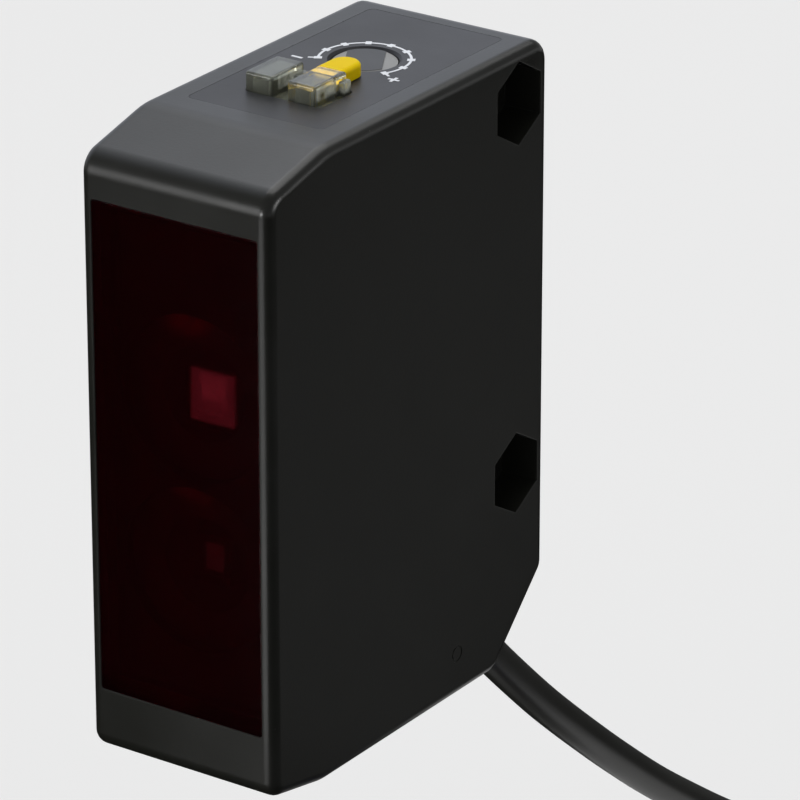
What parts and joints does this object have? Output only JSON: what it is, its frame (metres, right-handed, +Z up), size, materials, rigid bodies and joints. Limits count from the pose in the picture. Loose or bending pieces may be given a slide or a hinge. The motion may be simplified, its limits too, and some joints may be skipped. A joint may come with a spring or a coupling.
{
  "type": "background suppression sensor",
  "caption": "Slim block photoelectric sensor with a dark red front window, a top adjuster dial and indicator, two mounting holes with nut pockets and a coiled pre-wired cable.",
  "frame": {"origin": "on the left side face, midway between the two mounting holes, 15 mm from each hole's axis", "axes": "+Z up along the body's height, -Y is the way the front window looks, +X runs through the body to the side with the nut pockets"},
  "size_m": [0.0528, 0.0947, 0.0965],
  "materials": {
    "case": "fine satin moulded black plastic",
    "window": "polished dark red acrylic filter",
    "holder": "matt black moulded plastic",
    "lens": "clear moulded lens",
    "emitter": "red lit emitter",
    "chip": "moulded black resin",
    "board": "green lacquered circuit board",
    "tinned_steel": "bright tinned sheet",
    "film": "fine satin overlay film",
    "dial": "satin dark grey plastic",
    "rubber": "matt black rubber",
    "smoke": "smoky clear moulding",
    "yellow": "bright yellow light guide",
    "lamp_green": "green lamp",
    "lamp_orange": "orange lamp",
    "core_brown": "brown core insulation",
    "core_blue": "blue core insulation",
    "core_black": "black core insulation",
    "cable": "satin black cable jacket",
    "tinned_copper": "tinned stranded copper",
    "tie": "black nylon tie"
  },
  "bodies": {
    "sensor": {"case": "case", "side_cover": "case", "front_window": "window", "lens_holder": "holder", "emitter_lens": "lens", "receiver_lens": "lens", "emitter_block": "emitter", "emitter_led": "emitter", "receiver_block": "holder", "receiver_diode": "chip", "main_board": "board", "top_board": "board", "board_link": "chip", "controller_chip": "chip", "driver_chip": "chip", "amplifier_chip": "chip", "shield_can": "tinned_steel", "filter_capacitor": "tinned_steel", "top_film": "film", "dial_seal": "rubber", "adjuster_pot": "chip", "indicator_lens": "smoke", "yellow_lens": "yellow", "green_lamp": "lamp_green", "orange_lamp": "lamp_orange", "cable_bush": "rubber", "core_brown": "core_brown", "core_blue": "core_blue", "core_black": "core_black", "cable_run": "cable", "cable_coil": "cable", "cable_tail": "cable", "coil_tie": "tie", "lead_brown": "core_brown", "lead_blue": "core_blue", "lead_black": "core_black", "tip_brown": "tinned_copper", "tip_blue": "tinned_copper", "tip_black": "tinned_copper"},
    "dial": {"adjuster_dial": "dial"}
  },
  "joints": [
    {"name": "dial_turn", "type": "hinge", "parent": "sensor", "child": "dial", "pos_m": [0.0084, -0.008, 0.01907], "axis": [0, 0, 1], "range_deg": [-150, 90]}
  ]
}
